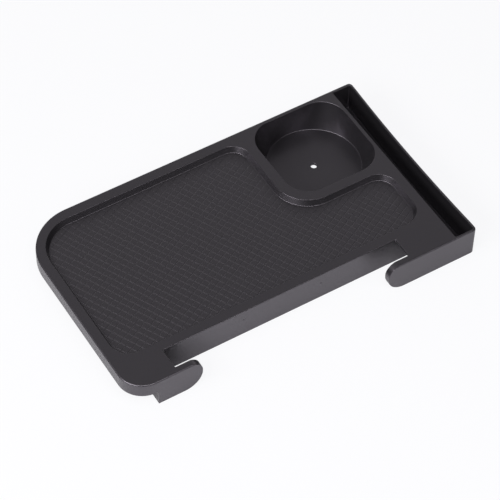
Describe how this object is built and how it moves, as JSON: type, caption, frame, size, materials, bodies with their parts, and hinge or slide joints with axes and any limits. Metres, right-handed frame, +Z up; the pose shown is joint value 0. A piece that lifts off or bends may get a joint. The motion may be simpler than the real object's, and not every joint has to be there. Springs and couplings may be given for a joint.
{
  "type": "chair side tray",
  "caption": "Clip-on side tray for a camping chair, with a matted recess, a cup well, a phone slot and two hooks for the chair's side rail.",
  "frame": {"origin": "middle of the footprint, on the plane that the tray rests on", "axes": "+X from the rounded end to the phone slot, +Y from the hooks to the back edge, +Z up"},
  "size_m": [0.36, 0.212, 0.0322],
  "materials": {
    "tray": "fine matt moulded grain",
    "mat": "low square pads, matt"
  },
  "bodies": {
    "root": {"tray_moulding": "tray", "grip_mat": "mat"}
  },
  "joints": []
}
